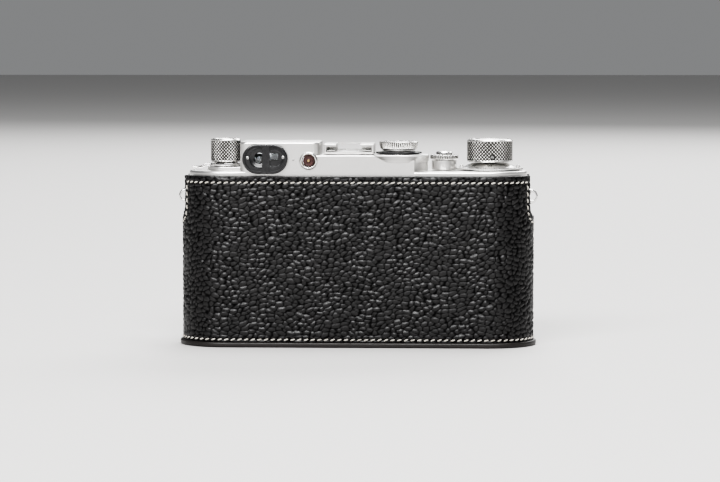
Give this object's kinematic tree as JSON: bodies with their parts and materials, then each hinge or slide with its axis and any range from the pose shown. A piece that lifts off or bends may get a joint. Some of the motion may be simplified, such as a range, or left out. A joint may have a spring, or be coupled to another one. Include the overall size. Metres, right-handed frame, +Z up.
{
  "type": "rangefinder camera",
  "caption": "Screw-lens rangefinder camera with a collapsible lens, standing in an open-topped leather half case.",
  "frame": {"origin": "middle of the underside of the case sole, below the middle of the camera body", "axes": "+Z up, +Y out of the lens, +X towards the wind knob, which is to the right seen from behind"},
  "size_m": [0.1446, 0.0761, 0.0825],
  "materials": {
    "case_leather": "pebble-grained black leather with a soft shine",
    "case_suede": "brushed suede",
    "case_board": "stiff leather board",
    "bush_brass": "turned and plated",
    "body_alloy": "cast, bead blasted",
    "vulcanite": "fine pebble grain",
    "cover_chrome": "satin chrome",
    "bright_chrome": "satin chrome with knurled grips",
    "black_enamel": "black enamel",
    "steel": "turned steel",
    "brass": "turned brass",
    "lens_chrome": "satin chrome",
    "glass": "coated optical glass",
    "curtain_cloth": "rubberised silk"
  },
  "bodies": {
    "case": {"case_wall": "case_leather", "case_lining": "case_suede", "case_sole": "case_leather", "case_insole": "case_board", "case_tripod_bush": "bush_brass"},
    "camera": {"body_shell": "body_alloy", "body_covering": "vulcanite", "base_plate": "cover_chrome", "base_tripod_bush": "bush_brass", "top_cover": "cover_chrome", "strap_lug_right": "cover_chrome", "strap_lug_left": "cover_chrome", "accessory_shoe": "cover_chrome", "shoe_spring": "steel", "eyepiece_bezel": "black_enamel", "rangefinder_eyepiece_lens": "glass", "viewfinder_eyepiece_lens": "glass", "flash_socket_ring": "bright_chrome", "flash_socket_core": "black_enamel", "near_range_window": "glass", "far_range_window": "glass", "viewfinder_window": "glass", "film_gate": "black_enamel", "pressure_plate": "black_enamel", "shutter_frame": "body_alloy", "shutter_curtain": "curtain_cloth", "curtain_roller": "steel", "release_barrel": "bright_chrome", "release_collar": "bright_chrome", "lens_flange": "lens_chrome", "lens_mount_base": "lens_chrome"},
    "lock_key": {"base_lock_key": "cover_chrome"},
    "rewind_fork": {"rewind_fork": "steel"},
    "rewind_knob": {"rewind_knob": "bright_chrome"},
    "diopter_lever": {"diopter_lever": "bright_chrome"},
    "wind_knob": {"wind_knob": "bright_chrome", "wind_shaft": "steel", "take_up_spool": "black_enamel"},
    "reminder_disc": {"film_reminder_disc": "bright_chrome"},
    "counter_dial": {"frame_counter_dial": "bright_chrome"},
    "sprocket": {"film_sprocket": "steel", "sprocket_gear": "brass"},
    "drum": {"shutter_drum": "brass", "drum_gear": "brass"},
    "dial_sleeve": {"speed_dial_sleeve": "steel"},
    "speed_dial": {"speed_dial": "bright_chrome"},
    "sync_ring": {"flash_sync_ring": "black_enamel"},
    "release": {"release_button": "bright_chrome"},
    "rewind_lever": {"rewind_release_lever": "bright_chrome"},
    "slow_dial": {"slow_speed_dial": "bright_chrome"},
    "range_arm": {"rangefinder_arm": "brass", "rangefinder_prism": "glass"},
    "focus": {"focus_ring": "lens_chrome"},
    "lock_button": {"infinity_lock_button": "lens_chrome"},
    "helix": {"lens_helix_barrel": "lens_chrome"},
    "lens_tube": {"lens_tube": "lens_chrome", "iris_diaphragm": "black_enamel", "rear_lens_element": "glass", "front_lens_element": "glass"},
    "aperture": {"aperture_ring": "lens_chrome"}
  },
  "joints": [
    {"name": "camera_lift", "type": "slide", "parent": "case", "child": "camera", "axis": [0, 0, 1], "range_m": [0, 0.07]},
    {"name": "lock_key_turn", "type": "hinge", "parent": "camera", "child": "lock_key", "pos_m": [-0.053, 0, 0.007], "axis": [0, 0, 1], "range_deg": [0, 180]},
    {"name": "rewind_turn", "type": "hinge", "parent": "camera", "child": "rewind_fork", "pos_m": [-0.0533, 0, 0.075], "axis": [0, 0, 1], "continuous": true},
    {"name": "rewind_knob_pull", "type": "slide", "parent": "rewind_fork", "child": "rewind_knob", "axis": [0, 0, 1], "range_m": [0, 0.0055]},
    {"name": "diopter_turn", "type": "hinge", "parent": "camera", "child": "diopter_lever", "pos_m": [-0.0533, 0, 0.075], "axis": [0, 0, 1], "range_deg": [-10, 40]},
    {"name": "wind_knob_turn", "type": "hinge", "parent": "camera", "child": "wind_knob", "pos_m": [0.053, 0, 0.075], "axis": [0, 0, 1], "continuous": true},
    {"name": "reminder_disc_turn", "type": "hinge", "parent": "wind_knob", "child": "reminder_disc", "pos_m": [0.053, 0, 0.075], "axis": [0, 0, 1], "continuous": true},
    {"name": "counter_turn", "type": "hinge", "parent": "camera", "child": "counter_dial", "pos_m": [0.053, 0, 0.075], "axis": [0, 0, 1], "continuous": true},
    {"name": "sprocket_turn", "type": "hinge", "parent": "camera", "child": "sprocket", "pos_m": [0.0347, 0, 0.06], "axis": [0, 0, 1], "continuous": true},
    {"name": "drum_turn", "type": "hinge", "parent": "camera", "child": "drum", "pos_m": [0.0165, -0.0015, 0.078], "axis": [0, 0, 1], "continuous": true},
    {"name": "speed_dial_lift", "type": "slide", "parent": "drum", "child": "dial_sleeve", "axis": [0, 0, 1], "range_m": [0, 0.0015]},
    {"name": "speed_dial_set", "type": "hinge", "parent": "dial_sleeve", "child": "speed_dial", "pos_m": [0.0165, -0.0015, 0.078], "axis": [0, 0, 1], "range_deg": [0, 300]},
    {"name": "sync_ring_turn", "type": "hinge", "parent": "camera", "child": "sync_ring", "pos_m": [0.0165, -0.0015, 0.078], "axis": [0, 0, 1], "range_deg": [0, 290]},
    {"name": "release_press", "type": "slide", "parent": "camera", "child": "release", "axis": [0, 0, -1], "range_m": [0, 0.0024], "stiffness_N_per_m": 300, "springref_m": -0.001},
    {"name": "rewind_lever_turn", "type": "hinge", "parent": "camera", "child": "rewind_lever", "pos_m": [0.0375, 0.0096, 0.0705], "axis": [0, 0, 1], "range_deg": [0, 30]},
    {"name": "slow_dial_turn", "type": "hinge", "parent": "camera", "child": "slow_dial", "pos_m": [0.029, 0.018, 0.052], "axis": [0, 1, 0], "range_deg": [0, 200]},
    {"name": "focus_turn", "type": "hinge", "parent": "camera", "child": "focus", "pos_m": [-0.0032, 0.03, 0.0393], "axis": [0, 1, 0], "range_deg": [0, 170]},
    {"name": "lock_button_press", "type": "slide", "parent": "focus", "child": "lock_button", "axis": [0, -1, 0], "range_m": [0, 0.0009], "stiffness_N_per_m": 200, "springref_m": -0.0005},
    {"name": "helix_travel", "type": "slide", "parent": "camera", "child": "helix", "axis": [0, 1, 0], "range_m": [0, 0.0028]},
    {"name": "range_arm_turn", "type": "hinge", "parent": "camera", "child": "range_arm", "pos_m": [0.0096, 0.008, 0.06], "axis": [0, 0, 1], "range_deg": [-12.3, 0]},
    {"name": "lens_collapse", "type": "slide", "parent": "helix", "child": "lens_tube", "axis": [0, -1, 0], "range_m": [0, 0.0155]},
    {"name": "aperture_turn", "type": "hinge", "parent": "lens_tube", "child": "aperture", "pos_m": [-0.0032, 0.03, 0.0393], "axis": [0, 1, 0], "range_deg": [0, 100]}
  ],
  "couplings": [
    {"joint": "counter_turn", "follows": "wind_knob_turn", "ratio": 0.025},
    {"joint": "sprocket_turn", "follows": "wind_knob_turn", "ratio": -1},
    {"joint": "drum_turn", "follows": "wind_knob_turn", "ratio": 1},
    {"joint": "helix_travel", "follows": "focus_turn", "m_per_rad": 0.0009403},
    {"joint": "range_arm_turn", "follows": "focus_turn", "ratio": -0.07176}
  ]
}
